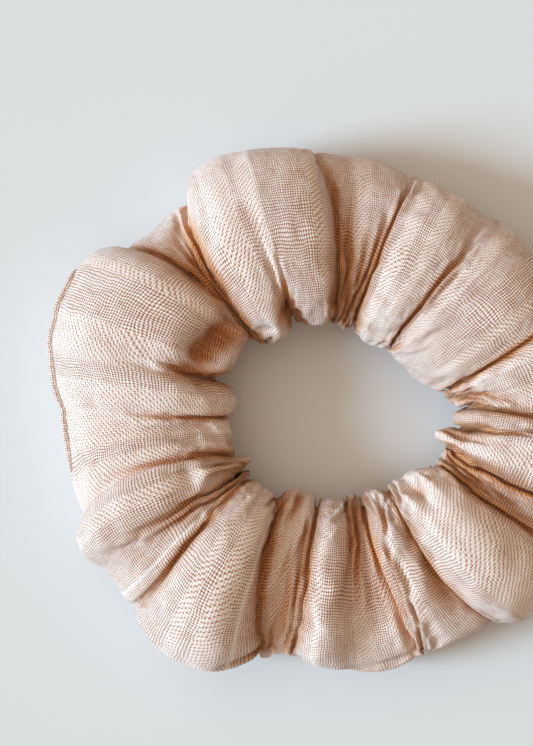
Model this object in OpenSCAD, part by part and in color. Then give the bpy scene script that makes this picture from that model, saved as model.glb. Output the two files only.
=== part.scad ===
// Gathered cloth scrunchie: a sewn cloth tube round a flat braided elastic loop.
// The ring lies flat on XY with Z up. Its outline is two half circles joined by short straights.
// Cloth, elastic and long seam are cut into sections, so that the ring can open by sliding them
// apart: section 0 starts at the end seam and section 8 ends there, and both are half as long.

/* [Ring] */
// Width of the hole along X
hole_w = 49; // [46:1:58]
// Width of the hole along Y
hole_d = 37; // [34:1:44]
// Radial width of the gathered cloth tube
tube_w = 37; // [32:1:42]
// Height of the gathered cloth tube
tube_h = 22; // [20:1:28]
// Thickness of the gathered cloth wall
wall = 1.2; // [0.8:0.1:1.4]

/* [Elastic] */
// Width of the elastic tape
elastic_w = 6; // [5:0.5:7]
// Thickness of the elastic tape
elastic_t = 1.2; // [1:0.1:1.4]
// Distance from the hole's edge to the middle of the tape
elastic_inset = 4.4; // [4.2:0.1:6]
// Number of rubber strands inside the braid
strand_count = 7; // [3:1:8]
// Side of a rubber strand, which is cut square
strand_side = 0.5; // [0.3:0.05:0.6]
// Length that each end of the elastic runs past the end seam
lap_half = 7; // [6:0.5:8]

/* [Seams] */
// Direction of the end seam, where the two ends of the cloth tube meet
end_seam_angle = 257; // [250:1:262]
// Width of the seam allowances inside the tube
allowance_w = 6; // [4:0.5:8]
// Thickness of one layer of seam allowance
allowance_t = 0.5; // [0.4:0.1:0.6]
// Distance from the wall to the long seam's stitches
stitch_inset = 1.6; // [1.4:0.1:2.5]
// Thickness of the sewing thread
thread_t = 0.3; // [0.2:0.05:0.35]
// Number of slanted stitches that hold the elastic's lap
zigzag_count = 8; // [4:1:10]

/* [Hidden] */
last = 8;
SECTIONS = [0 : last];

cloth_colour = [0.82, 0.68, 0.59];
braid_colour = [0.92, 0.90, 0.86];
rubber_colour = [0.80, 0.74, 0.62];
thread_colour = [0.78, 0.63, 0.54];

$fn = 96;
straight = (hole_w - hole_d) / 2;   // half the length of the outline's straights
hole_r = hole_d / 2;
mid_r = hole_r + tube_w / 2;
outer_r = hole_r + tube_w;
mid_z = tube_h / 2;
span = 360 / last;
gap = 0.3;                          // width of the cut between two sections
far = 2 * outer_r;

// The tape winds slightly outwards, so that its two ends lie one on the other at the end seam.
lap_gap = 0.3;
function tape_r(k) = hole_r + elastic_inset + (k / last - 0.5) * (elastic_t + lap_gap);

// Cross-section of the cloth tube, drawn inside its surface by inset
module tube_profile(inset) {
    flat = tube_w - tube_h;
    square([flat, tube_h - 2 * inset], center = true);
    for (side = [-1, 1]) translate([side * flat / 2, 0]) circle(r = tube_h / 2 - inset);
}

// The whole ring as one solid, with its surface moved in by inset
module ring(inset) {
    translate([0, 0, mid_z])
    for (side = [0, 180]) {
        rotate([0, 0, side])
        translate([straight, 0, 0])
        rotate([0, 0, -90])
        rotate_extrude(angle = 180)
        translate([mid_r, 0])
        tube_profile(inset);

        rotate([90, 0, 90 + side])
        linear_extrude(2 * straight, center = true)
        translate([mid_r, 0])
        tube_profile(inset);
    }
}

// Filled outline of the ring at a distance r from the middle of each half circle
module outline(r) {
    square([2 * straight, 2 * r], center = true);
    for (side = [-1, 1]) translate([side * straight, 0]) circle(r = r);
}

// A flat band that follows the outline from radius low to radius high
module band(low, high, z, h) {
    translate([0, 0, z])
    linear_extrude(h)
    difference() {
        outline(high);
        outline(low);
    }
}

function start_angle(k) = end_seam_angle + (k == 0 ? 0 : (k - 0.5) * span);
function stop_angle(k) = end_seam_angle + (k == last ? k : k + 0.5) * span;

// Everything between two directions from the middle, less half a cut's width at each of them
module wedge(from, to) {
    half = (to - from) / 2;
    tip = gap / 2 / sin(half);
    rotate([0, 0, from + half])
    translate([tip, 0, -tube_h])
    linear_extrude(3 * tube_h)
    polygon([[0, 0], far * [cos(half), -sin(half)], far * [1, 0], far * [cos(half), sin(half)]]);
}

module section(k) {
    intersection() {
        children();
        wedge(start_angle(k), stop_angle(k));
    }
}

// The two layers of the long seam's allowance stand in from the outer edge, at half height.
module long_seam_allowance() {
    band(outer_r - wall - allowance_w, outer_r - wall / 2, mid_z - allowance_t, 2 * allowance_t);
}

// A slab on one side of the end seam's plane: side 1 is the tube's start and -1 is its end.
module end_seam_slab(side, from, to) {
    rotate([0, 0, end_seam_angle])
    translate([0, side > 0 ? from : -to, -tube_h])
    cube([far, to - from, 3 * tube_h]);
}

// A skin of the tube's inside, from inset near to inset deep, beside the end seam
module end_seam_lining(side, near, deep, from, to) {
    intersection() {
        difference() {
            ring(near);
            ring(deep);
        }
        end_seam_slab(side, from, to);
    }
}

module cover(k) {
    color(cloth_colour)
    section(k)
    union() {
        difference() {
            ring(0);
            ring(wall);
        }
        long_seam_allowance();
        if (k == 0) end_seam_lining(1, wall / 2, wall + allowance_t, 0, allowance_w);
        if (k == last) end_seam_lining(-1, wall / 2, wall + allowance_t, 0, allowance_w);
    }
}

// The end sections' tapes run on past the end seam by the length of the lap.
module tape_section(k) {
    lap_angle = atan(lap_half / tape_r(k));
    intersection() {
        children();
        wedge(
            start_angle(k) - (k == 0 ? lap_angle : 0),
            stop_angle(k) + (k == last ? lap_angle : 0)
        );
    }
}

module strands(k) {
    pitch = elastic_w / strand_count;
    first_z = mid_z - elastic_w / 2 + pitch / 2 - strand_side / 2;
    for (i = [0 : strand_count - 1])
        band(tape_r(k) - strand_side / 2, tape_r(k) + strand_side / 2, first_z + i * pitch, strand_side);
}

module rubber_strands(k) {
    color(rubber_colour)
    tape_section(k) strands(k);
}

module braid(k) {
    color(braid_colour)
    tape_section(k)
    difference() {
        band(tape_r(k) - elastic_t / 2, tape_r(k) + elastic_t / 2, mid_z - elastic_w / 2, elastic_w);
        strands(k);
    }
}

// The needle thread lies on top of the long seam's allowance and the bobbin thread underneath.
module long_seam_thread(k, z) {
    stitch_r = outer_r - wall - stitch_inset;
    color(thread_colour)
    section(k) band(stitch_r - thread_t / 2, stitch_r + thread_t / 2, z, thread_t);
}

// A loop of thread inside the tube, on the end seam's allowance
module end_seam_thread(side) {
    near = wall + allowance_t;
    from = 2 * gap;
    color(thread_colour)
    difference() {
        end_seam_lining(side, near, near + thread_t, from, from + thread_t);
        long_seam_allowance();
    }
}

// A zigzag line in XZ, thread_t high, from x = -w / 2 to w / 2 and from z = -h / 2 to h / 2
module zigzag(w, h) {
    points = [for (i = [0 : zigzag_count]) [w * (i / zigzag_count - 0.5), (i % 2 - 0.5) * h]];
    back = [for (i = [zigzag_count : -1 : 0]) points[i] + [0, 2 * thread_t]];
    polygon(concat(points, back));
}

// The stitches through the elastic's lap, on one face of the tape of section k
module lap_thread(k, side) {
    low = tape_r(k) + side * elastic_t / 2 - (side < 0 ? thread_t : 0);
    color(thread_colour)
    intersection() {
        band(low, low + thread_t, mid_z - elastic_w / 2, elastic_w);
        translate([tape_r(k) * cos(end_seam_angle), 0, mid_z])
        rotate([90, 0, 0])
        linear_extrude(far)
        zigzag(1.6 * lap_half, 0.6 * elastic_w);
    }
}

for (k = SECTIONS) cover(k);
for (k = SECTIONS) braid(k);
for (k = SECTIONS) rubber_strands(k);
for (k = SECTIONS)
    long_seam_thread(k, mid_z + allowance_t);
for (k = SECTIONS)
    long_seam_thread(k, mid_z - allowance_t - thread_t);
end_seam_thread(1);  // end_seam_needle_thread
end_seam_thread(-1);  // end_seam_bobbin_thread
lap_thread(0, -1);  // lap_needle_thread
lap_thread(last, 1);  // lap_bobbin_thread
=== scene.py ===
"""A gathered linen scrunchie. Its cloth starts from a list of gathers and settles on the floor by simulation.
It is cut into pieces between the CAD's sections, as are the elastic and the seams inside it."""
import math

import bmesh
import bpy
import numpy as np
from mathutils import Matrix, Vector
from mathutils.bvhtree import BVHTree


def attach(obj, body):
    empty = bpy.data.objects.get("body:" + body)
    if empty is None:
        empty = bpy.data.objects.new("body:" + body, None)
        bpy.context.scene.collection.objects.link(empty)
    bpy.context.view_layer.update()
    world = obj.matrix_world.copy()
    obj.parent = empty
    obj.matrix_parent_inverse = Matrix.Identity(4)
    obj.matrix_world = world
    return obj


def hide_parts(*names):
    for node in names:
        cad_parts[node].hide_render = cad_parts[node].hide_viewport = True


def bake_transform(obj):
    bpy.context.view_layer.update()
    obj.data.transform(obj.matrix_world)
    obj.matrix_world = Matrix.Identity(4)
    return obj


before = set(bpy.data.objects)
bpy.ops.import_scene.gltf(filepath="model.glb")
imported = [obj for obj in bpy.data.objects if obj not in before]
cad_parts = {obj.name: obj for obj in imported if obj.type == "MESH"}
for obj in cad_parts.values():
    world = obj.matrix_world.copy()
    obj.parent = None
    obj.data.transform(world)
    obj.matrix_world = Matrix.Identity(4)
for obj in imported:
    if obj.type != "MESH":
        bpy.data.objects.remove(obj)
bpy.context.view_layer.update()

MM = 0.001
END_SEAM_ANGLE = 257.0      # degrees from +X, as in the CAD
SECTIONS = 8
SPAN = 360.0 / SECTIONS
BODIES = ["seam_start"] + [f"section_{k}" for k in range(1, SECTIONS)] + ["seam_end"]

# ------------------------------ the gathers
# Going anticlockwise from +X. A fold is a valley between two puffs. Its angles are in degrees where it
# crosses the tube's outer edge, its top and the hole's edge, and its depths there are in mm.
FOLDS = [
    # outer  top   hole   depth: outer top hole
    (24.0, 21.0, 12.0, 0.9, 2.6, 3.8),
    (54.0, 55.0, 58.0, 0.5, 2.2, 2.4),
    (75.5, 77.0, 84.5, 0.7, 2.4, 4.2),
    (97.5, 95.5, 100.0, 0.5, 4.2, 3.4),
    (112.0, 114.0, 119.0, 0.2, 0.4, 3.2),
    (127.0, 133.0, 138.0, 3.0, 4.0, 4.0),
    (143.5, 140.0, 140.5, 2.2, 4.4, 4.2),
    (168.0, 168.0, 166.0, 0.2, 0.5, 6.5),
    (179.0, 180.0, 182.0, 0.4, 0.9, 1.5),
    (203.0, 195.0, 203.0, 1.6, 2.2, 3.8),
    (212.0, 209.0, 210.5, 0.6, 1.3, 4.6),
    (222.5, 221.0, 213.5, 2.4, 3.2, 4.2),
    (250.0, 241.0, 231.0, 4.2, 4.2, 4.0),
    (259.0, 257.5, 253.5, 1.0, 1.5, 2.5),
    (271.0, 270.0, 270.0, 0.6, 1.0, 1.2),
    (286.5, 284.0, 281.0, 0.8, 2.4, 3.4),
    (306.0, 300.5, 299.0, 2.0, 4.8, 4.6),
    (327.0, 327.5, 328.0, 2.4, 3.2, 3.6),
    (342.0, 338.5, 342.0, 2.6, 4.2, 4.4),
    (354.0, 353.0, 352.5, 0.2, 0.5, 3.6),
    (359.0, 358.0, 362.0, 1.0, 2.6, 3.2),
]
# A puff lies between a fold and the next one. Its outer radius, its hole radius and its height are in mm.
# Its crest is at a share of its width. Its two flanks stand at angles in degrees: past 90, a flank hangs over
# its fold.
PUFFS = [
    # outer hole  height crest start end
    (51.3, 15.2, 22.0, 0.55, 90, 60),
    (50.5, 15.0, 21.5, 0.55, 50, 96),
    (53.0, 17.6, 18.5, 0.50, 45, 40),
    (56.4, 18.4, 23.5, 0.42, 112, 34),
    (59.2, 20.0, 23.5, 0.58, 34, 110),
    (54.8, 22.0, 16.5, 0.45, 42, 42),
    (63.6, 24.8, 23.5, 0.42, 110, 60),
    (61.0, 23.0, 22.0, 0.50, 50, 50),
    (58.0, 24.0, 21.0, 0.50, 50, 55),
    (61.5, 22.2, 22.5, 0.40, 85, 70),
    (59.5, 23.8, 20.0, 0.45, 55, 60),
    (62.4, 23.0, 24.0, 0.50, 104, 112),
    (53.2, 18.5, 17.5, 0.50, 40, 50),
    (53.8, 18.2, 20.5, 0.45, 72, 78),
    (55.6, 17.4, 15.2, 0.45, 32, 32),
    (52.6, 16.8, 20.5, 0.26, 92, 34),
    (56.4, 17.2, 24.0, 0.40, 116, 80),
    (54.5, 22.0, 18.0, 0.50, 55, 55),
    (57.0, 19.2, 22.5, 0.42, 110, 55),
    (57.5, 22.5, 21.5, 0.50, 55, 80),
    (56.5, 21.6, 22.0, 0.50, 75, 70),
]
# Dents pressed into the puffs: the direction in degrees, the place round the tube (0 at the outer edge, 0.25
# on top, 0.5 at the hole), the half lengths in degrees and round the tube, and the depth in mm
DENTS = [
    (119.0, 0.43, 4.5, 0.08, 6.0),
    (148.0, 0.395, 7.0, 0.045, 7.0),
    (157.5, 0.37, 6.5, 0.045, 7.5),
    (166.0, 0.35, 3.0, 0.06, 4.0),
    (91.5, 0.26, 3.5, 0.17, 2.0),
    (250.5, 0.12, 6.5, 0.13, 4.0),
    (241.5, 0.43, 2.2, 0.05, 2.5),
    (299.0, 0.21, 5.0, 0.16, 2.8),
    (277.0, 0.18, 6.0, 0.20, 1.2),
    (311.0, 0.40, 4.5, 0.08, 3.5),
    (352.0, 0.38, 3.0, 0.05, 3.5),
]

# The strip of cloth between its seams, in mm: the tube's length and the way round it
STRIP_LENGTH = 385.0
STRIP_WIDTH = 97.0
BUNCHED_LENGTH = 262.0               # of the strip along the elastic, where fine puckers take up the rest
CLOTH_THICKNESS = 0.5

SIM_COLUMNS, SIM_ROWS = 400, 72      # the simulated mesh, round the ring and round the tube
FINE = 3                             # each simulated cell becomes FINE x FINE cells
SIM_SCALE = 10.0                     # the simulation runs at ten times the real size, as a garment
SIM_FRAMES = 8
FLOOR_GAP = 0.05                     # under the cloth's lowest point, in mm
NOISE_COARSE, NOISE_FINE = 0.35, 0.22    # heights of the cloth's random unevenness, in mm
TUBE_ROUNDNESS = 2.25                # 2 is an ellipse, and more is squarer


def periodic(values, x):
    """A smooth closed curve through evenly spaced values; x counts values."""
    values = np.asarray(values, float)
    n = len(values)
    i = np.floor(x).astype(int)
    t = x - i
    p0, p1, p2, p3 = (values[(i + k) % n] for k in (-1, 0, 1, 2))
    if values.ndim > 1:
        t = t.reshape(t.shape + (1,) * (values.ndim - 1))
    m1, m2 = (p2 - p0) / 2, (p3 - p1) / 2
    return ((2 * t**3 - 3 * t**2 + 1) * p1 + (t**3 - 2 * t**2 + t) * m1
            + (-2 * t**3 + 3 * t**2) * p2 + (t**3 - t**2) * m2)


def round_tube(outer, top, hole, below, turn):
    """A smooth value round the tube that passes through its values at the four sides; turn is 0 to 1."""
    a = 2 * np.pi * turn
    mean = (outer + top + hole + below) / 4
    return (mean + (outer - hole) / 2 * np.cos(a) + (top - below) / 2 * np.sin(a)
            + (outer - top + hole - below) / 4 * np.cos(2 * a))


def smooth_noise(u, v, seed, cells_u, cells_v):
    """Smooth noise on the closed strip, about -1 to 1; u and v run from 0 to 1."""
    rng = np.random.default_rng(seed)
    grid = rng.uniform(-1, 1, (cells_u, cells_v))
    x, y = u * cells_u, v * cells_v
    i, j = np.floor(x).astype(int), np.floor(y).astype(int)
    s, t = x - i, y - j
    s, t = s * s * (3 - 2 * s), t * t * (3 - 2 * t)
    a, b = grid[i % cells_u, j % cells_v], grid[(i + 1) % cells_u, j % cells_v]
    c, d = grid[i % cells_u, (j + 1) % cells_v], grid[(i + 1) % cells_u, (j + 1) % cells_v]
    return (a * (1 - s) + b * s) * (1 - t) + (c * (1 - s) + d * s) * t


def gathered_surface(columns, rows):
    """Points of the gathered cloth before it settles, columns x rows x 3, in mm."""
    folds = np.array(FOLDS)
    puffs = np.array(PUFFS)
    n = len(folds)
    # Each puff takes cloth for its width, 0.68 mm for each degree, and for the depths of the folds beside it.
    widths = (np.roll(folds[:, 1], -1) - folds[:, 1]) % 360
    length = widths * 0.68 + 1.3 * (folds[:, 4] + np.roll(folds[:, 4], -1))
    edges = np.concatenate([[0], np.cumsum(length)]) / length.sum()
    share = (np.arange(columns) + 0.5) / columns
    puff = np.clip(np.searchsorted(edges, share, side="right") - 1, 0, n - 1)
    t = (share - edges[puff]) / (edges[puff + 1] - edges[puff])
    puff = puff[:, None] * np.ones((1, rows), int)
    t = t[:, None] * np.ones((1, rows))
    v = np.arange(rows)[None, :] / rows * np.ones((columns, 1))
    share = share[:, None] * np.ones((1, rows))

    def fold_angle(index):
        f = folds[index % n]
        below = 0.5 * (f[..., 0] + f[..., 2])
        return round_tube(f[..., 0], f[..., 1], f[..., 2], below, v) + 360.0 * (index // n)

    def fold_depth(index):
        f = folds[index % n]
        return np.maximum(round_tube(f[..., 3], f[..., 4], f[..., 5], 0.6 * f[..., 4] + 0.4, v), 0.1)

    # The cloth of a puff is an arch with two flanks, steeper near the hole and flatter at the outer edge.
    crest_share, start, end = (puffs[puff % n, k] for k in (3, 4, 5))
    flank = np.where(t < 0.5, start, end)
    steep = np.radians(round_tube(0.62 * flank, flank, np.maximum(flank, 92), 0.8 * flank, v))
    x = np.abs(2 * t - 1)
    reach = np.sin(steep * x) / np.sin(steep)
    along = np.where(t < 0.5, crest_share * (1 - reach), crest_share + (1 - crest_share) * reach)
    arch = (np.cos(steep * x) - np.cos(steep)) / (1 - np.cos(steep))
    arch = 1 - (1 - arch) ** 1.35
    a0, a1 = fold_angle(puff), fold_angle(puff + 1)
    theta = np.radians(a0 + (a1 - a0) * along)
    d0, d1 = fold_depth(puff), fold_depth(puff + 1)
    depth = (d0 + (d1 - d0) * np.clip(along, 0, 1)) * (1 - arch)
    depth = depth + NOISE_COARSE * smooth_noise(share, v, 3, 60, 9)
    depth = depth + NOISE_FINE * smooth_noise(share, v, 4, 140, 24)

    crest = puff + t - 0.5
    outer_r, hole_r, height = (periodic(puffs[:, k], crest) for k in (0, 1, 2))
    # The tube's cross-section
    a = 2 * np.pi * v
    power = 2 / TUBE_ROUNDNESS
    cx = np.sign(np.cos(a)) * np.abs(np.cos(a)) ** power
    cz = np.sign(np.sin(a)) * np.abs(np.sin(a)) ** power
    half_r, half_z = (outer_r - hole_r) / 2, height / 2
    nx, nz = cx / half_r, cz / half_z
    size = np.sqrt(nx**2 + nz**2)
    for angle, place, long, wide, deep in DENTS:
        away = (np.degrees(theta) - angle + 180) % 360 - 180
        depth = depth + deep * np.exp(-1.4 * np.hypot(away / long, (v - place) / wide) ** 1.4)
    r = (outer_r + hole_r) / 2 + half_r * cx - depth * nx / size
    z = half_z + half_z * cz - depth * nz / size
    low = 0.6       # below this height, in mm, the cloth flattens on the floor
    z = np.where(z < low, low * np.exp((z - low) / 0.9), z)
    return np.stack([r * np.cos(theta), r * np.sin(theta), z], -1)


def grid_faces(columns, rows):
    """Quads of a closed grid, whose point (column, row) has the index column * rows + row."""
    index = np.arange(columns * rows).reshape(columns, rows)
    right, up = np.roll(index, -1, 0), np.roll(index, -1, 1)
    return np.stack([index, right, np.roll(right, -1, 1), up], -1).reshape(-1, 4)


def new_object(name, points, faces):
    """A smooth-shaded mesh object from points in metres."""
    mesh = bpy.data.meshes.new(name)
    mesh.from_pydata(np.asarray(points).reshape(-1, 3).tolist(), [], [list(map(int, f)) for f in faces])
    mesh.polygons.foreach_set("use_smooth", np.ones(len(mesh.polygons), bool))
    obj = bpy.data.objects.new(name, mesh)
    bpy.context.scene.collection.objects.link(obj)
    return obj


# ------------------------------ cloth simulation
def pressed_flat(columns, rows):
    """The sewn strip pressed flat: two layers standing as a band, bunched only along the elastic."""
    a = 2 * np.pi * np.arange(columns) / columns
    layers_apart = 0.6
    s = np.arange(rows) / rows * STRIP_WIDTH
    height = np.minimum(s, STRIP_WIDTH - s)
    at_hole = np.sin(np.pi * s / STRIP_WIDTH) ** 2
    length = STRIP_LENGTH + (BUNCHED_LENGTH - STRIP_LENGTH) * at_hole
    r = length / (2 * np.pi) + np.where(s < STRIP_WIDTH / 2, layers_apart / 2, -layers_apart / 2)
    return np.stack([r * np.cos(a)[:, None], r * np.sin(a)[:, None], height * np.ones((columns, 1))], -1)


def settle(points):
    """The cloth after it has settled on the floor, bunched at the hole's edge, where the elastic holds it."""
    columns, rows = points.shape[:2]
    obj = new_object("settling", points * SIM_SCALE * MM, grid_faces(columns, rows))
    obj.shape_key_add(name="start")
    flat = obj.shape_key_add(name="flat")
    flat.data.foreach_set("co", (pressed_flat(columns, rows) * SIM_SCALE * MM).ravel().astype(np.float32))
    # The cloth is held firmly at the hole's edge, and loosely elsewhere.
    firm, loose = 0.9, 0.35
    edge = 0.09         # how far the firm hold reaches, as a share of the way round the tube
    turn = np.arange(rows) / rows
    hold = np.sqrt(np.clip(1 - np.abs(turn - 0.5) / edge, 0, 1))
    pin = np.maximum(firm * hold, loose)
    group = obj.vertex_groups.new(name="held")
    for row in range(rows):
        group.add(list(range(row, columns * rows, rows)), float(pin[row]), "REPLACE")
    modifier = obj.modifiers.new("cloth", "CLOTH")
    cloth = modifier.settings
    cloth.quality = 5
    cloth.mass = 0.3
    cloth.air_damping = 4
    cloth.tension_stiffness = cloth.compression_stiffness = 20
    cloth.shear_stiffness = 6
    cloth.bending_stiffness = 60
    cloth.tension_damping = cloth.compression_damping = cloth.shear_damping = 15
    cloth.bending_damping = 1
    cloth.vertex_group_mass = "held"
    cloth.use_pressure = True
    cloth.uniform_pressure_force = 1.0
    cloth.rest_shape_key = flat
    touch = modifier.collision_settings
    touch.distance_min = 0.004
    touch.use_self_collision = True
    touch.self_distance_min = 0.005
    touch.collision_quality = 3
    bpy.ops.mesh.primitive_plane_add(size=4)
    ground = bpy.context.object
    ground.modifiers.new("collision", "COLLISION")
    ground.collision.thickness_outer = 0.004
    scene = bpy.context.scene
    for f in range(1, SIM_FRAMES + 1):
        scene.frame_set(f)
    mesh = obj.evaluated_get(bpy.context.evaluated_depsgraph_get()).to_mesh()
    out = np.zeros(len(mesh.vertices) * 3, np.float32)
    mesh.vertices.foreach_get("co", out)
    scene.frame_set(1)
    bpy.data.objects.remove(obj)
    bpy.data.objects.remove(ground)
    return out.reshape(columns, rows, 3).astype(float) / (SIM_SCALE * MM)


def soften(points, sharp=0.34, rounds=12):
    """Rounds the creases that are too sharp for linen of this weight; sharp is in mm."""
    for _ in range(rounds):
        around = sum(np.roll(points, step, axis) for step in (1, -1) for axis in (0, 1)) / 4
        move = around - points
        size = np.linalg.norm(move, axis=2, keepdims=True)
        points = points + move * 0.8 * np.clip(size / sharp - 1, 0, 1)
    return points


def refine(points):
    """The closed grid with FINE times as many columns and rows, on a smooth surface through its points."""
    columns, rows = points.shape[:2]
    points = periodic(points, np.arange(columns * FINE) / FINE)
    return periodic(points.transpose(1, 0, 2), np.arange(rows * FINE) / FINE).transpose(1, 0, 2)


def normals_of(points):
    """Outward unit normals of the closed grid."""
    du = np.roll(points, -1, 0) - np.roll(points, 1, 0)
    dv = np.roll(points, -1, 1) - np.roll(points, 1, 1)
    n = np.cross(du, dv)
    return n / np.maximum(np.linalg.norm(n, axis=2, keepdims=True), 1e-9)


def openness(points, rays=24, reach=14.0):
    """How much of the space over each point is free of other cloth, from 0 in a deep fold to 1."""
    columns, rows = points.shape[:2]
    flat = points.reshape(-1, 3)
    tree = BVHTree.FromPolygons(flat.tolist(), grid_faces(columns, rows).tolist())
    rng = np.random.default_rng(5)
    spread = rng.normal(size=(rays, 3))
    spread /= np.linalg.norm(spread, axis=1)[:, None]
    free = np.zeros(len(flat))
    for i, (p, n) in enumerate(zip(flat, normals_of(points).reshape(-1, 3))):
        start = Vector(p + 0.25 * n)        # just off the cloth itself
        hits = 0
        for d in spread + n:
            hits += tree.ray_cast(start, Vector(d), reach)[0] is not None
        free[i] = 1 - hits / rays
    free = free.reshape(columns, rows)
    for axis in (0, 1):
        free = (free + 0.5 * (np.roll(free, 1, axis) + np.roll(free, -1, axis))) / 2
    return free


points = gathered_surface(SIM_COLUMNS, SIM_ROWS)
points = settle(points)
points = soften(points)
points[..., 2] -= points[..., 2].min() - FLOOR_GAP
cloth_points = refine(points)
# How open the cloth lies over each point sets how much painted shade its colour takes in the folds.
open_share = refine(openness(points)[..., None])[..., 0]
COLUMNS, ROWS = cloth_points.shape[:2]
y_mm = np.arange(ROWS) / ROWS * STRIP_WIDTH
top_angle = np.degrees(np.arctan2(cloth_points[:, ROWS // 4, 1], cloth_points[:, ROWS // 4, 0])) % 360


def bump_at(distance, width):
    """A smooth bump, 1 at distance 0 and 0 beyond width."""
    return np.clip(1 - (distance / width) ** 2, 0, 1) ** 2


def between(value, low, high, soft):
    """1 from low to high and 0 outside, with soft edges."""
    rise = np.clip((value - low) / soft + 0.5, 0, 1)
    fall = np.clip((high - value) / soft + 0.5, 0, 1)
    return rise * rise * (3 - 2 * rise) * fall * fall * (3 - 2 * fall)


# ------------------------------ the long seam
# It runs round the outer edge, a little underneath. On the left is the gap through which the tube was turned:
# there it is rolled up into view, and its folded edges are stitched together into a lip. In degrees and mm
GAP_START, GAP_END = 149.0, 189.0
SEAM_UNDER = 3.0        # how far the seam lies below the outer edge
GAP_RISE = 7.5          # how far the gap is rolled up
SEAM_DEPTH, SEAM_HALF_WIDTH = 0.5, 0.9
seam_y = -SEAM_UNDER + GAP_RISE * between(top_angle, GAP_START - 2, GAP_END + 2, 14.0)
across = (y_mm[None, :] - seam_y[:, None] + STRIP_WIDTH / 2) % STRIP_WIDTH - STRIP_WIDTH / 2
normals = normals_of(cloth_points)
cloth_points = cloth_points - normals * (SEAM_DEPTH * bump_at(across, SEAM_HALF_WIDTH))[..., None]
normals = normals_of(cloth_points)
# The way through the cloth, which is shorter where it is creased
THROUGH_ROUNDS = 8
through = normals
for _ in range(THROUGH_ROUNDS):
    through = sum(np.roll(through, step, axis) for step in (1, -1) for axis in (0, 1)) / 4


def along_row(values, y):
    """Values of the cloth's grid in each column, at the distance y round the tube, in mm."""
    place = np.broadcast_to(y, COLUMNS) / STRIP_WIDTH * ROWS
    row = np.floor(place).astype(int)
    share = (place - row)[:, None]
    column = np.arange(COLUMNS)
    return values[column, row % ROWS] * (1 - share) + values[column, (row + 1) % ROWS] * share


# ------------------------------ woven stripes
# The strip was cut across the cloth's stripes, so each one runs round the tube. The cloth is plain, with
# stripes of twill that go from one direction to another, in degrees.
STRIPES = [
    (2, 9), (16, 22), (27, 30), (47, 52), (62, 66), (70, 75), (84, 88), (97, 100), (114, 118),
    (120, 128), (133, 136), (144, 147), (159.5, 168.3), (173, 187), (190, 196), (200, 204),
    (226, 229), (232, 238), (245, 252), (259.5, 262), (272, 276), (280, 284), (288, 291),
    (306, 325), (333, 335.5), (342, 350),
]
# Single thicker yarns: direction and lightness
ACCENTS = [
    (44.5, -1.0), (216.5, 0.8), (240.5, 1.0), (272.0, -0.6),
    (68.5, -0.4), (171.0, -0.5), (326.0, -0.5), (114.0, 0.4),
]
STRIPE_EDGE = 1.2       # degrees over which the weave changes
YARN_HALF_WIDTH = 0.55  # of a thicker yarn, in degrees
twill = sum(between(top_angle, low, high, STRIPE_EDGE) for low, high in STRIPES)
accent = sum(light * bump_at((top_angle - at + 180) % 360 - 180, YARN_HALF_WIDTH) for at, light in ACCENTS)
along_rows = np.ones((1, ROWS))
shades = {"twill": twill[:, None] * along_rows, "accent": accent[:, None] * along_rows, "open": open_share}


# ------------------------------ pieces between the sections
def section_angle(k):
    """Direction of the middle of section k, where piece k ends and piece k + 1 starts."""
    return END_SEAM_ANGLE + k * SPAN


def unit(angle):
    return np.array([math.cos(math.radians(angle)), math.sin(math.radians(angle)), 0.0])


def cut_to_span(obj, k):
    """Cuts away what lies outside the span from the middle of section k - 1 to the middle of section k."""
    bm = bmesh.new()
    bm.from_mesh(obj.data)
    for plane, sign in ((unit(section_angle(k - 1) + 90), -1), (unit(section_angle(k) + 90), 1)):
        bmesh.ops.bisect_plane(bm, geom=bm.verts[:] + bm.edges[:] + bm.faces[:], dist=1e-7,
                               plane_co=(0, 0, 0), plane_no=tuple(sign * plane), clear_outer=True)
    bm.to_mesh(obj.data)
    bm.free()


def at_ends(co, k):
    """Which points lie on the two planes that piece k is cut to: a mask for each, and the planes' normals."""
    planes = [unit(section_angle(k - side) + 90) for side in (1, 0)]
    near = 2e-6         # metres
    return [(np.abs(co @ n) < near, n) for n in planes]


def points_of(mesh):
    co = np.zeros(len(mesh.vertices) * 3)
    mesh.vertices.foreach_get("co", co)
    return co.reshape(-1, 3)


ELASTIC_MEAN_RADIUS = 28.0  # of the elastic's loop, in mm
LAP_HALF = 7.0              # half the length over which its ends lie on each other
LAP_DEGREES = math.degrees(LAP_HALF / ELASTIC_MEAN_RADIUS)
LAP_EDGE = ELASTIC_MEAN_RADIUS * math.sin(math.radians(SPAN / 2 - LAP_DEGREES)) * MM

reach = {}      # half the length of span k, in metres: the least distance from its middle to a point on its cuts


def bend_between(obj, k, lapped=False):
    """Finds the half length of span k, between the middles of sections k - 1 and k, and for a lapped piece
    caps it at the elastic's lap at the tape's ends; nothing uses these lengths. Then it bakes the piece's
    transform into its points."""
    along = unit(section_angle(k - 0.5) + 90)
    if k not in reach:
        co = points_of(obj.data)
        reach[k] = min(np.abs(co[on] @ along).min() for on, n in at_ends(co, k))
    before = min(reach[k], LAP_EDGE) if lapped and k == 1 else reach[k]
    after = min(reach[k], LAP_EDGE) if lapped and k == SECTIONS else reach[k]
    BODIES[k - 1]
    -before * along
    after * along
    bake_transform(obj)


def flat_area(places, faces):
    """The area of the faces on the flat strip, from the places of their corners on it."""
    area, start = 0.0, 0
    for f in faces:
        x, y = places[start:start + len(f)].T.astype(float)
        area += abs(np.dot(x, np.roll(y, -1)) - np.dot(y, np.roll(x, -1))) / 2
        start += len(f)
    return area


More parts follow.
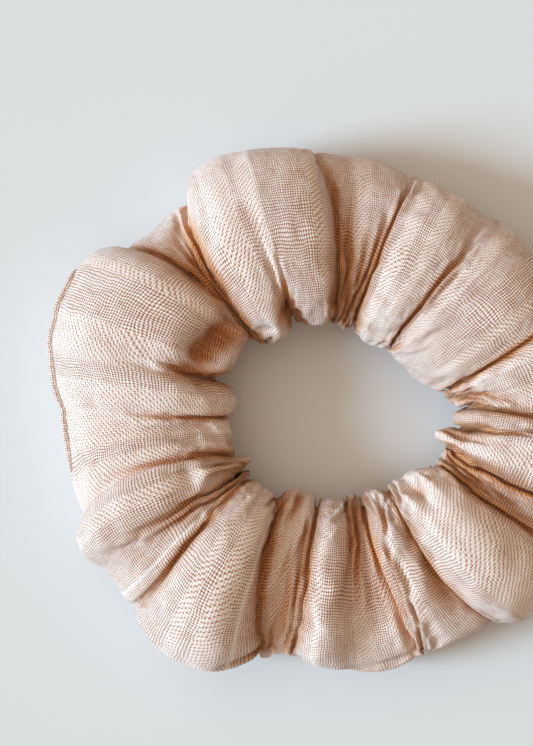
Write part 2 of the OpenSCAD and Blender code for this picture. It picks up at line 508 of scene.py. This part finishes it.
def outer_skin(k):
    """The cloth's outer face between the middles of sections k - 1 and k, with what its material reads."""
    angle = np.degrees(np.arctan2(cloth_points[..., 1], cloth_points[..., 0]))
    off = np.abs((angle - section_angle(k - 0.5) + 180) % 360 - 180)
    middle = int(off[:, ROWS // 4].argmin())
    place = (np.arange(COLUMNS) - middle + COLUMNS // 2) % COLUMNS - COLUMNS // 2
    near = place[off.min(1) < SPAN / 2 + 1]
    columns = (middle + np.arange(near.min(), near.max() + 1)) % COLUMNS
    count = len(columns)
    index = np.arange(count * ROWS).reshape(count, ROWS)
    up = np.roll(index, -1, 1)
    quads = np.stack([index[:-1], index[1:], up[1:], up[:-1]], -1).reshape(-1, 4)
    outer = new_object("outer_skin", cloth_points[columns] * MM, quads)
    mesh = outer.data
    flat_x = np.repeat((columns[0] + np.arange(count)) * STRIP_LENGTH / COLUMNS, ROWS)[quads]
    flat_y = np.tile(y_mm, count)[quads]
    flat_y[quads[:, 2] % ROWS == 0, 2:] = STRIP_WIDTH
    set_uv(mesh, np.stack([flat_x, flat_y], -1) * MM)
    for name, values in shades.items():
        layer = mesh.attributes.new(name, "FLOAT", "POINT")
        layer.data.foreach_set("value", values[columns].astype(np.float32).ravel())
    for name, vectors in (("outwards", normals), ("through", through)):
        layer = mesh.attributes.new(name, "FLOAT_VECTOR", "POINT")
        layer.data.foreach_set("vector", vectors[columns].astype(np.float32).ravel())
    cut_to_span(outer, k)
    return outer


def set_uv(mesh, places):
    """Stores the place on the flat strip, in metres, of each corner of each face."""
    uv = mesh.uv_layers.new(name="strip")
    uv.data.foreach_set("uv", places.astype(np.float32).ravel())


def vectors_of(mesh, name):
    vectors = np.zeros(len(mesh.vertices) * 3)
    mesh.attributes[name].data.foreach_get("vector", vectors)
    return vectors.reshape(-1, 3)


def rims_of(faces, n):
    """Quads that join the open edges of the faces to the same edges of a second skin, n points further on."""
    uses = {}
    for f in faces:
        for i, v in enumerate(f):
            w = f[(i + 1) % len(f)]
            key = (min(v, w), max(v, w))
            uses[key] = None if key in uses else (v, w)
    return [[w, v, v + n, w + n] for v, w in filter(None, uses.values())]


def skin_places(mesh, faces, rims, n):
    """Places on the strip of the corners of a closed skin: its outer faces, its inner ones, and its rims."""
    outer = np.zeros(len(mesh.loops) * 2, np.float32)
    mesh.uv_layers["strip"].data.foreach_get("uv", outer)
    outer = outer.reshape(-1, 2)
    back, start = [], 0
    for f in faces:
        back.extend(range(start + len(f) - 1, start - 1, -1))
        start += len(f)
    loop_of = {}
    for i, loop in enumerate(mesh.loops):
        loop_of.setdefault(loop.vertex_index, i)
    rim_loops = [loop_of[v % n] for f in rims for v in f]
    return outer, np.concatenate([outer, outer[back], outer[rim_loops]])


def cover_piece(k):
    """The cloth of the cover between the middles of sections k - 1 and k, as a closed skin."""
    outer = outer_skin(k)
    mesh = outer.data
    co = points_of(mesh)
    out, inwards = vectors_of(mesh, "outwards"), vectors_of(mesh, "through")
    for on, n in at_ends(co, k):
        inwards[on] -= np.outer(inwards[on] @ n, n)
    inner_co = co - inwards * CLOTH_THICKNESS * MM
    faces = [list(p.vertices) for p in mesh.polygons]
    n = len(co)
    rims = rims_of(faces, n)
    inner_faces = [[v + n for v in reversed(f)] for f in faces]
    skin = new_object(f"cloth_cover_{k}", np.concatenate([co, inner_co]), faces + inner_faces + rims)
    outer_places, places = skin_places(mesh, faces, rims, n)
    set_uv(skin.data, places)
    for name in shades:
        values = np.zeros(n, np.float32)
        mesh.attributes[name].data.foreach_get("value", values)
        layer = skin.data.attributes.new(name, "FLOAT", "POINT")
        layer.data.foreach_set("value", np.concatenate([values, values]))
    skin.data.normals_split_custom_set_from_vertices(np.concatenate([out, -out]).tolist())
    bpy.data.objects.remove(outer)
    skin.data.materials.append(CLOTH)
    bend_between(skin, k)
    allowance = seam_allowance(k)
    length = flat_area(outer_places, faces) / (STRIP_WIDTH * MM)
    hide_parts(*([f"cover_{k}"] + (["cover_0"] if k == 1 else [])))


# ------------------------------ swept pieces
def swept(name, rings, closed):
    """A mesh object through rings x points x 3 in mm; closed joins the last ring to the first."""
    count, around = rings.shape[:2]
    faces = grid_faces(count, around)
    if not closed:
        faces = faces[:-around]
    faces = [list(f) for f in faces]
    if not closed:
        last_ring = (count - 1) * around
        faces += [list(range(around))[::-1], list(range(last_ring, last_ring + around))]
    obj = new_object(name, rings * MM, faces)
    # What the cloth's material reads: places on the strip, and openness 1 everywhere, so that it paints no
    # shade on them
    middle = rings.mean(1)
    length = np.concatenate([[0], np.cumsum(np.linalg.norm(np.diff(middle, axis=0), axis=1))])
    place = np.stack([np.repeat(length, around), np.tile(np.arange(around) * 0.25, count)], -1) * MM
    corners = np.zeros(len(obj.data.loops), np.int32)
    obj.data.loops.foreach_get("vertex_index", corners)
    set_uv(obj.data, place[corners])
    layer = obj.data.attributes.new("open", "FLOAT", "POINT")
    layer.data.foreach_set("value", np.ones(count * around, np.float32))
    return obj


def tube_rings(path, radius, sides, up, closed):
    """Rings of a round tube along a path in mm. up is never along the path, and radius may vary along it."""
    if closed:
        along = np.roll(path, -1, 0) - np.roll(path, 1, 0)
    else:
        along = np.gradient(path, axis=0)
    side = np.cross(along, up)
    side /= np.linalg.norm(side, axis=1)[:, None]
    over = np.cross(side, along)
    over /= np.linalg.norm(over, axis=1)[:, None]
    a = 2 * np.pi * np.arange(sides) / sides
    radius = np.broadcast_to(np.asarray(radius, float), (len(path),))[:, None, None]
    ring = np.cos(a)[None, :, None] * side[:, None] + np.sin(a)[None, :, None] * over[:, None]
    return path[:, None] + radius * ring


def span_of(obj, name, k, material, slot_name, *nodes):
    """A copy of a whole ring piece, cut to span k and closed at its cuts."""
    piece = bpy.data.objects.new(name, obj.data.copy())
    bpy.context.scene.collection.objects.link(piece)
    cut_to_span(piece, k)
    bm = bmesh.new()
    bm.from_mesh(piece.data)
    bmesh.ops.holes_fill(bm, edges=[e for e in bm.edges if e.is_boundary], sides=0)
    bmesh.ops.recalc_face_normals(bm, faces=bm.faces[:])
    bm.to_mesh(piece.data)
    bm.free()
    return finish_piece(piece, k, material, slot_name, *nodes)


def finish_piece(piece, k, material, slot_name, *nodes, lapped=False):
    piece.data.materials.clear()
    piece.data.materials.append(material)
    bend_between(piece, k, lapped)
    if nodes:
        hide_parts(*nodes)
    return piece


def nodes_of(kind, k):
    """The CAD nodes of one kind that the piece of span k stands for."""
    return [f"{kind}_{k}"] + ([f"{kind}_0"] if k == 1 else [])


def stitched(length, stitch):
    """How far a lock stitch's thread stands out of the cloth at each length along it, from 0 to 1."""
    return np.abs(np.sin(np.pi * length / stitch)) ** 0.35


# ------------------------------ inside the cover
# In mm
ALLOWANCE_WIDTH = 6.0
ALLOWANCE_TILT = 0.25       # how far the allowance rises for each mm inwards
STITCH_INSET = 1.6          # from the seam line to its stitches
STITCH_LENGTH = 2.5
STITCH_STEPS = 8            # points of the thread's path in each stitch
THREAD_RADIUS = 0.14
END_THREAD_DEPTH = 1.3      # of the end seam's stitches, inwards from the inside of the cloth
ELASTIC_WIDTH, ELASTIC_THICKNESS = 6.0, 1.2
BRAID_WALL = 0.25
BRAID_RIBS = 28
RIB_HEIGHT = 0.05           # of the braid's ribs
RIB_TURN = 0.9              # from each ring of the mesh to the next, in radians
STRANDS = 7
STRAND_SIDE = 0.5
LAP_GAP = 0.3
ELASTIC_HEIGHT = 10.0       # of the tape's middle above the floor
ELASTIC_ROOM = 0.3          # between the tape and the cloth's deepest folds

seam_line = along_row(cloth_points, seam_y)
seam_inwards = -seam_line * [1, 1, 0]
seam_inwards /= np.linalg.norm(seam_inwards, axis=1)[:, None]
seam_inwards[:, 2] = ALLOWANCE_TILT


def seam_allowance(k):
    """The long seam's allowance in span k, as one flap of two layers standing into the tube."""
    near = seam_line + seam_inwards * (2 * CLOTH_THICKNESS)
    deep = near + seam_inwards * ALLOWANCE_WIDTH
    half = np.array([0, 0, CLOTH_THICKNESS])
    ring = swept("allowance", np.stack([near - half, near + half, deep + half, deep - half], 1), True)
    piece = span_of(ring, f"long_seam_allowance_{k}", k, CLOTH, "cloth")
    bpy.data.objects.remove(ring)
    return [piece]


def elastic_radius(angle):
    """Distance of the tape's middle from the origin, in mm: a smooth loop inside the cloth's deep folds."""
    angles = np.degrees(np.arctan2(cloth_points[..., 1], cloth_points[..., 0]))
    r = np.hypot(cloth_points[..., 0], cloth_points[..., 1])
    away = np.abs(np.arange(ROWS) / ROWS - 0.5) < 0.17
    height = np.abs(cloth_points[..., 2] - ELASTIC_HEIGHT) < ELASTIC_WIDTH / 2 + 0.8
    hole_side = height & away[None, :]
    grid = np.arange(0, 360, 5)
    need = np.array([r[hole_side & (np.abs((angles - g + 180) % 360 - 180) < 5)].max() for g in grid])
    waves = np.fft.rfft(need)
    waves[6:] = 0
    smooth = np.fft.irfft(waves, len(grid))
    smooth += (need - smooth).max() * 0.6 + ELASTIC_THICKNESS / 2 + CLOTH_THICKNESS + ELASTIC_ROOM
    return periodic(smooth, np.asarray(angle) / 5.0)


def tape_rings(start, stop, outline, step=0.5):
    """Rings of an outline, points x 2 in mm as (outwards, up), along the tape between two directions."""
    angle = np.linspace(start, stop, int((stop - start) / step) + 2)
    turned = (angle - END_SEAM_ANGLE) / 360.0 - 0.5
    r = elastic_radius(angle % 360) + turned * (ELASTIC_THICKNESS + LAP_GAP)
    rings = np.zeros((len(angle), len(outline), 3))
    a = np.radians(angle)[:, None]
    out = np.asarray(outline)
    rings[..., 0] = (r[:, None] + out[:, 0]) * np.cos(a)
    rings[..., 1] = (r[:, None] + out[:, 0]) * np.sin(a)
    rings[..., 2] = ELASTIC_HEIGHT + out[:, 1]
    return rings


def tape_span(k):
    """Where the tape of span k starts and stops; its ends run on past the end seam as the lap."""
    start, stop = section_angle(k - 1), section_angle(k)
    return start - (LAP_DEGREES if k == 1 else 0), stop + (LAP_DEGREES if k == SECTIONS else 0)


def flat_outline(width, thickness, points_across):
    """A rounded flat outline, going round from the top, as (outwards, up)."""
    a = 2 * np.pi * (np.arange(points_across) + 0.5) / points_across
    return np.stack([np.sign(np.cos(a)) * np.abs(np.cos(a)) ** 0.35 * thickness / 2,
                     np.sign(np.sin(a)) * np.abs(np.sin(a)) ** 0.75 * width / 2], -1)


def braid_jacket(k):
    """The tape's braid in span k: a hollow jacket with the slanting ribs of yarns that cross each other."""
    start, stop = tape_span(k)
    jacket = flat_outline(ELASTIC_WIDTH, ELASTIC_THICKNESS, 40)
    hollow = flat_outline(ELASTIC_WIDTH - 2 * BRAID_WALL, ELASTIC_THICKNESS - 2 * BRAID_WALL, 40)
    outer = tape_rings(start, stop, jacket)
    count, around = outer.shape[:2]
    turn = np.arange(count)[:, None] * RIB_TURN
    slant = np.arange(around) / around * BRAID_RIBS * np.pi
    rib = np.sin(turn + slant) * np.sin(turn - slant)
    direction = outer - tape_rings(start, stop, jacket * 0.5)
    direction /= np.linalg.norm(direction, axis=2, keepdims=True)
    outer = outer + direction * RIB_HEIGHT * rib[..., None]
    inner = tape_rings(start, stop, hollow)
    total = count * around
    walls = grid_faces(count, around)[:-around]
    faces = [list(f) for f in walls] + [[v + total for v in reversed(f)] for f in walls]
    for ring, flip in ((0, True), ((count - 1) * around, False)):
        for i in range(around):
            j = (i + 1) % around
            f = [ring + i, ring + j, ring + j + total, ring + i + total]
            faces.append(f[::-1] if flip else f)
    points = np.concatenate([outer.reshape(-1, 3), inner.reshape(-1, 3)]) * MM
    braid = new_object(f"elastic_braid_{k}", points, faces)
    finish_piece(braid, k, BRAID, "braid", *nodes_of("braid", k), lapped=True)


def rubber_strands(k):
    """The square rubber strands that lie side by side in the braid of span k."""
    start, stop = tape_span(k)
    pitch = (ELASTIC_WIDTH - 1.0) / STRANDS
    points, faces = [], []
    half = STRAND_SIDE / 2
    for i in range(STRANDS):
        z = (i - (STRANDS - 1) / 2) * pitch
        square = [(-half, z - half), (half, z - half), (half, z + half), (-half, z + half)]
        rings = tape_rings(start, stop, square)
        base = len(points) * len(rings) * 4
        points.append(rings.reshape(-1, 3))
        last_ring = base + (len(rings) - 1) * 4
        faces += [[v + base for v in f] for f in grid_faces(len(rings), 4)[:-4]]
        faces += [[base + v for v in (3, 2, 1, 0)], [last_ring + v for v in range(4)]]
    strands = new_object(f"rubber_strands_{k}_in_braid", np.concatenate(points) * MM, faces)
    finish_piece(strands, k, RUBBER, "rubber", *nodes_of("rubber_strands", k), lapped=True)


def long_seam_threads():
    """The lock stitches along the long seam's allowance: the needle thread above, the bobbin thread below."""
    steps = STITCH_STEPS * int(STRIP_LENGTH / STITCH_LENGTH)
    place = np.arange(steps) / steps
    line = periodic(seam_line + seam_inwards * (2 * CLOTH_THICKNESS + STITCH_INSET), place * COLUMNS)
    stand = stitched(place * steps / STITCH_STEPS, 1.0)
    resting = 0.1       # from the allowance's middle to a thread that dips into it
    for kind, side in (("long_seam_needle_thread", 1), ("long_seam_bobbin_thread", -1)):
        rise = resting + (CLOTH_THICKNESS + THREAD_RADIUS - resting) * stand
        path = line + np.outer(side * rise, (0, 0, 1))
        ring = swept(kind, tube_rings(path, THREAD_RADIUS, 6, (0, 0, 1), True), True)
        for k in range(1, SECTIONS + 1):
            span_of(ring, f"{kind}_span_{k}", k, THREAD, "thread", *nodes_of(kind, k))
        bpy.data.objects.remove(ring)


def end_seam_threads():
    """The end seam's lock stitches round the inside of the tube, a needle thread and a bobbin thread."""
    seam_column = int(np.abs((top_angle - END_SEAM_ANGLE + 180) % 360 - 180).argmin())
    steps = STITCH_STEPS * int(STRIP_WIDTH / STITCH_LENGTH)
    place = np.arange(steps) / steps
    stand = 0.1 * stitched(place * steps / STITCH_STEPS, 1.0)
    for kind, side, body in (("end_seam_needle_thread", 1, BODIES[0]),
                             ("end_seam_bobbin_thread", -1, BODIES[-1])):
        column = (seam_column + side * 3) % COLUMNS
        inwards = cloth_points[column].mean(0) - cloth_points[column]
        inwards /= np.linalg.norm(inwards, axis=1)[:, None]
        loop = cloth_points[column] + inwards * (CLOTH_THICKNESS + END_THREAD_DEPTH)
        shift = periodic(normals[column], place * ROWS)
        path = periodic(loop, place * ROWS) - shift * stand[:, None]
        rings = tube_rings(path, THREAD_RADIUS, 6, unit(END_SEAM_ANGLE + 90), True)
        thread = swept(f"{kind}_round_tube", rings, True)
        thread.data.materials.append(THREAD)
        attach(thread, body)
        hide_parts(kind)


def lap_threads():
    """The zigzag through the elastic's lap: the needle thread on one face, the bobbin thread on the other."""
    across = np.linspace(-1, 1, 161)
    zigzag = 2 / math.pi * np.arcsin(np.sin(across * 4 * math.pi))
    for kind, turn, side, body in (("lap_needle_thread", 0, -1, BODIES[0]),
                                   ("lap_bobbin_thread", 1, 1, BODIES[-1])):
        angle = END_SEAM_ANGLE + across * 0.8 * LAP_DEGREES
        r = elastic_radius(angle) + (turn - 0.5) * (ELASTIC_THICKNESS + LAP_GAP)
        r = r + side * (ELASTIC_THICKNESS / 2 + THREAD_RADIUS * 0.6)
        a = np.radians(angle)
        path = np.stack([r * np.cos(a), r * np.sin(a), ELASTIC_HEIGHT + 0.3 * ELASTIC_WIDTH * zigzag], -1)
        rings = tube_rings(path, THREAD_RADIUS, 6, unit(END_SEAM_ANGLE), False)
        thread = swept(f"{kind}_zigzag", rings, False)
        thread.data.materials.append(THREAD)
        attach(thread, body)
        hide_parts(kind)


LIP_RADIUS = 0.72
LIP_STANDS_OUT = 0.50
LIP_SIDES = 16
OVERCAST_PITCH = 1.15       # of the slanting ribs that the overcast edge makes along the lip
OVERCAST_DEPTH = 0.10       # as a share of the lip's radius
GAP_STITCH_INSET = 1.25     # from the lip to the stitches beside it
GAP_STITCH_LENGTH = 1.8


def turning_gap():
    """The turning gap's folded edges, sewn together into a thin lip, and the stitches on its inner side."""
    inside = np.nonzero((top_angle > GAP_START) & (top_angle < GAP_END))[0]
    place = np.arange(inside[0], inside[-1], 0.25)
    share = (place - place[0]) / (place[-1] - place[0])
    length = place / COLUMNS * STRIP_LENGTH
    line = periodic(along_row(cloth_points, seam_y), place)
    out = periodic(along_row(normals, seam_y), place)
    # The lip tapers to nothing where the gap's ends run into the seam.
    thin = np.clip(np.minimum(share, 1 - share) * 14, 0.05, 1) ** 0.5
    lip = tube_rings(line + out * LIP_STANDS_OUT, LIP_RADIUS * thin, LIP_SIDES, (0, 0, 1), False)
    turn = np.arange(LIP_SIDES) / LIP_SIDES
    twist = np.sin(2 * np.pi * (length[:, None] / OVERCAST_PITCH + turn[None, :]))
    centre = lip.mean(1, keepdims=True)
    lip = centre + (lip - centre) * (1 + OVERCAST_DEPTH * twist)[..., None]
    beside = seam_y + GAP_STITCH_INSET
    stand = -0.15 + 0.30 * stitched(length, GAP_STITCH_LENGTH)
    surface = periodic(along_row(cloth_points, beside), place)
    stitches = surface + periodic(along_row(normals, beside), place) * stand[:, None]
    thread = tube_rings(stitches, THREAD_RADIUS, 6, (0, 0, 1), False)
    for name, rings, material, slot_name in (("turning_gap_lip", lip, CLOTH, "cloth"),
                                             ("turning_gap_thread", thread, THREAD, "thread")):
        whole = swept("whole", rings, False)
        for k in (6, 7):
            span_of(whole, f"{name}_{k}", k, material, slot_name)
        bpy.data.objects.remove(whole)


# ------------------------------ materials
class Sum:
    """A number in a node tree. Arithmetic on it adds Math nodes."""

    def __init__(self, tree, socket):
        self.tree, self.socket = tree, socket

    def math(self, operation, *others):
        node = self.tree.nodes.new("ShaderNodeMath")
        node.operation = operation
        for i, value in enumerate((self, *others)):
            if isinstance(value, Sum):
                self.tree.links.new(value.socket, node.inputs[i])
            else:
                node.inputs[i].default_value = value
        return Sum(self.tree, node.outputs[0])

    def __add__(self, other):
        return self.math("ADD", other)

    def __sub__(self, other):
        return self.math("SUBTRACT", other)

    def __mul__(self, other):
        return self.math("MULTIPLY", other)

    def sin(self):
        return self.math("SINE")

    def abs(self):
        return self.math("ABSOLUTE")

    def floor(self):
        return self.math("FLOOR")

    def fract(self):
        return self.math("FRACT")

    def max(self, other):
        return self.math("MAXIMUM", other)

    def min(self, other):
        return self.math("MINIMUM", other)

    def clamp(self):
        return self.max(0.0).min(1.0)


def mix(a, b, share):
    return a + (b - a) * share


def node_tree(name, rough):
    m = bpy.data.materials.new(name)
    m.use_nodes = True
    shader = m.node_tree.nodes["Principled BSDF"]
    shader.inputs["Roughness"].default_value = rough
    return m, m.node_tree, shader


def noise(tree, x, y, scale, detail=2.0):
    """Noise about 0 to 1 over two numbers."""
    vector = tree.nodes.new("ShaderNodeCombineXYZ")
    for i, value in enumerate((x, y)):
        tree.links.new(value.socket, vector.inputs[i])
    node = tree.nodes.new("ShaderNodeTexNoise")
    node.inputs["Scale"].default_value = scale
    node.inputs["Detail"].default_value = detail
    tree.links.new(vector.outputs[0], node.inputs["Vector"])
    return Sum(tree, node.outputs["Fac"])


def colour_by(tree, share, stops):
    """A colour that runs through stops, each (place, (r, g, b)), as share goes from 0 to 1."""
    ramp = tree.nodes.new("ShaderNodeValToRGB")
    elements = ramp.color_ramp.elements
    for place, colour in stops[1:-1]:
        elements.new(place).color = (*colour, 1)
    elements[0].color = (*stops[0][1], 1)
    elements[-1].color = (*stops[-1][1], 1)
    tree.links.new(share.socket, ramp.inputs[0])
    return ramp.outputs[0]


def bump(tree, shader, height, depth):
    node = tree.nodes.new("ShaderNodeBump")
    node.inputs["Distance"].default_value = depth
    node.inputs["Strength"].default_value = 1.0
    tree.links.new(height.socket, node.inputs["Height"])
    tree.links.new(node.outputs[0], shader.inputs["Normal"])


def attribute(tree, name):
    node = tree.nodes.new("ShaderNodeAttribute")
    node.attribute_name = name
    return Sum(tree, node.outputs["Fac"])


THREAD_PITCH = 0.48 * MM
YARN_WANDER = 2.6       # in threads


def cloth_material():
    """Open linen weave: plain cloth with twill stripes, slubs and single thicker yarns."""
    m, tree, shader = node_tree("linen", 0.92)
    place = tree.nodes.new("ShaderNodeUVMap")
    place.uv_map = "strip"
    split = tree.nodes.new("ShaderNodeSeparateXYZ")
    tree.links.new(place.outputs[0], split.inputs[0])
    x0, y0 = (Sum(tree, split.outputs[i]) * (1 / THREAD_PITCH) for i in (0, 1))
    # The yarns wander a little, and each has its own thickness along its length.
    x = x0 + (noise(tree, x0, y0, 0.12) - 0.5) * YARN_WANDER
    y = y0 + (noise(tree, y0, x0 + 31.0, 0.12) - 0.5) * YARN_WANDER
    column, row = x.floor(), y.floor()
    end_slub = noise(tree, column * 17.3, y * 0.16, 1.0)
    pick_slub = noise(tree, row * 11.7, x * 0.16, 1.0)
    # Height of each set of yarns: round across, and going over and under along
    across_end = (x.fract() * math.pi).sin()
    across_pick = (y.fract() * math.pi).sin()
    end_wave = ((y + column) * math.pi).sin()
    pick_wave = ((x + row) * math.pi).sin()
    ends = across_end * (end_slub * 0.9 + 0.55)
    picks = across_pick * (pick_slub * 0.9 + 0.55)
    plain = (ends + picks) * 0.55 + (end_wave - pick_wave) * 0.10
    # The twill's ridges lean across the yarns.
    ridge = ((y * 0.52 - x * 0.39) * math.pi).sin().abs()
    twilled = ridge * (pick_slub * 0.5 + 0.22) + (across_end + across_pick) * 0.29
    twill = attribute(tree, "twill")
    cloth = mix(plain, twilled, twill * 0.9)
    accent = attribute(tree, "accent")
    cloth = cloth + accent.abs() * 0.3
    # share is how much of the light yarn shows, against the darker gaps and hairs between the yarns; the
    # gaps' darker, browner colour is painted shade.
    patches = noise(tree, x0, y0, 0.045, 3.0)
    fibre = noise(tree, x0, y0, 1.9)
    shown = cloth * 1.42 + twill * 0.16 - 0.55
    uneven = (patches - 0.5) * 0.5 + (end_slub - 0.5) * 0.3 + (fibre - 0.5) * 0.7
    share = (shown + uneven + accent * 0.35).clamp()
    # Low shares are painted shade where they fall in the gaps between the yarns, and the yarns' own uneven
    # tone elsewhere.
    crest = colour_by(tree, share, [
        (0.0, (0.34, 0.13, 0.065)), (0.22, (0.58, 0.345, 0.255)),
        (0.50, (0.84, 0.68, 0.62)), (1.0, (0.94, 0.875, 0.85))])
    # The valley colours are painted shade, for cloth deep in a fold.
    valley_painted_shade = colour_by(tree, share, [
        (0.0, (0.18, 0.045, 0.012)), (0.4, (0.49, 0.175, 0.050)), (1.0, (0.80, 0.44, 0.22))])
    # Painted shade: cloth deep in a fold, where little light reaches, takes the darker, browner valley
    # colours.
    painted_shade_mix = tree.nodes.new("ShaderNodeMix")
    painted_shade_mix.data_type = "RGBA"
    unshaded_share = ((attribute(tree, "open") - 0.52) * 2.3).clamp()
    tree.links.new(unshaded_share.socket, painted_shade_mix.inputs["Factor"])
    tree.links.new(valley_painted_shade, painted_shade_mix.inputs["A"])
    tree.links.new(crest, painted_shade_mix.inputs["B"])
    tree.links.new(painted_shade_mix.outputs["Result"], shader.inputs["Base Color"])
    bump(tree, shader, cloth + fibre * 0.3, 0.14 * MM)
    shader.inputs["Sheen Weight"].default_value = 0.30
    shader.inputs["Sheen Roughness"].default_value = 0.5
    shader.inputs["Sheen Tint"].default_value = (0.95, 0.96, 1.0, 1)
    shader.inputs["Specular IOR Level"].default_value = 0.2
    return m


def thread_material():
    """Spun polyester: two plies twisted together."""
    m, tree, shader = node_tree("thread", 0.7)
    place = tree.nodes.new("ShaderNodeTexCoord")
    split = tree.nodes.new("ShaderNodeSeparateXYZ")
    tree.links.new(place.outputs["Object"], split.inputs[0])
    x, y, z = (Sum(tree, split.outputs[i]) * (1 / MM) for i in range(3))
    ply = ((x + y * 1.3 + z * 2.0) * 9.0).sin() * 0.5 + 0.5
    colour = colour_by(tree, ply, [(0.0, (0.50, 0.33, 0.24)), (1.0, (0.72, 0.54, 0.44))])
    tree.links.new(colour, shader.inputs["Base Color"])
    bump(tree, shader, ply, 0.03 * MM)
    shader.inputs["Sheen Weight"].default_value = 0.2
    return m


def braid_material():
    """Off-white polyester braid: two sets of fine yarns that cross at a slant."""
    m, tree, shader = node_tree("braid", 0.75)
    place = tree.nodes.new("ShaderNodeTexCoord")
    split = tree.nodes.new("ShaderNodeSeparateXYZ")
    tree.links.new(place.outputs["Object"], split.inputs[0])
    x, y, z = (Sum(tree, split.outputs[i]) * (1 / MM) for i in range(3))
    angle = y.math("ARCTAN2", x) * ELASTIC_MEAN_RADIUS
    one = ((angle + z) * 4.5).sin() * 0.5 + 0.5
    other = ((angle - z) * 4.5).sin() * 0.5 + 0.5
    yarns = one.max(other)
    colour = colour_by(tree, yarns, [(0.0, (0.55, 0.52, 0.46)), (1.0, (0.86, 0.84, 0.79))])
    tree.links.new(colour, shader.inputs["Base Color"])
    bump(tree, shader, yarns, 0.06 * MM)
    shader.inputs["Sheen Weight"].default_value = 0.15
    return m


def rubber_material():
    """Natural rubber, dusted with talc."""
    m, tree, shader = node_tree("rubber", 0.65)
    place = tree.nodes.new("ShaderNodeTexCoord")
    dust = tree.nodes.new("ShaderNodeTexNoise")
    dust.inputs["Scale"].default_value = 900.0
    tree.links.new(place.outputs["Object"], dust.inputs["Vector"])
    share = Sum(tree, dust.outputs["Fac"])
    colour = colour_by(tree, share, [(0.0, (0.52, 0.42, 0.28)), (1.0, (0.72, 0.64, 0.50))])
    tree.links.new(colour, shader.inputs["Base Color"])
    bump(tree, shader, share, 0.02 * MM)
    return m


CLOTH = cloth_material()
THREAD = thread_material()
BRAID = braid_material()
RUBBER = rubber_material()
for k in range(1, SECTIONS + 1):
    cover_piece(k)
for k in range(1, SECTIONS + 1):
    braid_jacket(k)
    rubber_strands(k)
long_seam_threads()
end_seam_threads()
lap_threads()
turning_gap()


# ------------------------------ floor, light and camera
def plain_material(name, colour, rough):
    m, tree, shader = node_tree(name, rough)
    shader.inputs["Base Color"].default_value = (*colour, 1)
    return m


bpy.ops.mesh.primitive_plane_add(size=3.0)
floor = bpy.context.object
floor.name = "floor"
floor.data.materials.append(plain_material("floor", (0.748, 0.768, 0.795), 0.55))


def soft_sun(name, azimuth, elevation, strength, width, colour):
    """Even light from a direction, in degrees, whose source is as wide as the given angle."""
    data = bpy.data.lights.new(name, "SUN")
    data.energy = strength
    data.angle = math.radians(width)
    data.color = colour
    light = bpy.data.objects.new(name, data)
    high = math.radians(elevation)
    towards = Vector(unit(azimuth)) * math.cos(high) + Vector((0, 0, math.sin(high)))
    light.rotation_euler = towards.to_track_quat("Z", "Y").to_euler()
    bpy.context.scene.collection.objects.link(light)


soft_sun("window", 188.0, 24.0, 3.66, 20.0, (0.70, 0.97, 1.18))
soft_sun("ceiling", 150.0, 62.0, 0.8, 80.0, (1.0, 0.86, 0.70))

world = bpy.data.worlds.new("world")
bpy.context.scene.world = world
world.use_nodes = True
background = world.node_tree.nodes["Background"]
background.inputs[0].default_value = (1.0, 0.76, 0.53, 1)
background.inputs[1].default_value = 0.38
bpy.context.scene.view_settings.view_transform = "Standard"

HEIGHT_OF_VIEW = 0.154      # metres of the floor's height that the picture takes in
camera_data = bpy.data.cameras.new("camera")
camera = bpy.data.objects.new("camera", camera_data)
bpy.context.scene.collection.objects.link(camera)
distance = 0.40
camera.location = (-0.0164, 0.00805, 0.011 + distance)
camera_data.sensor_fit = "VERTICAL"
camera_data.sensor_height = 36
camera_data.lens = 36 * distance / HEIGHT_OF_VIEW
camera_data.clip_start = 0.01
bpy.context.scene.camera = camera
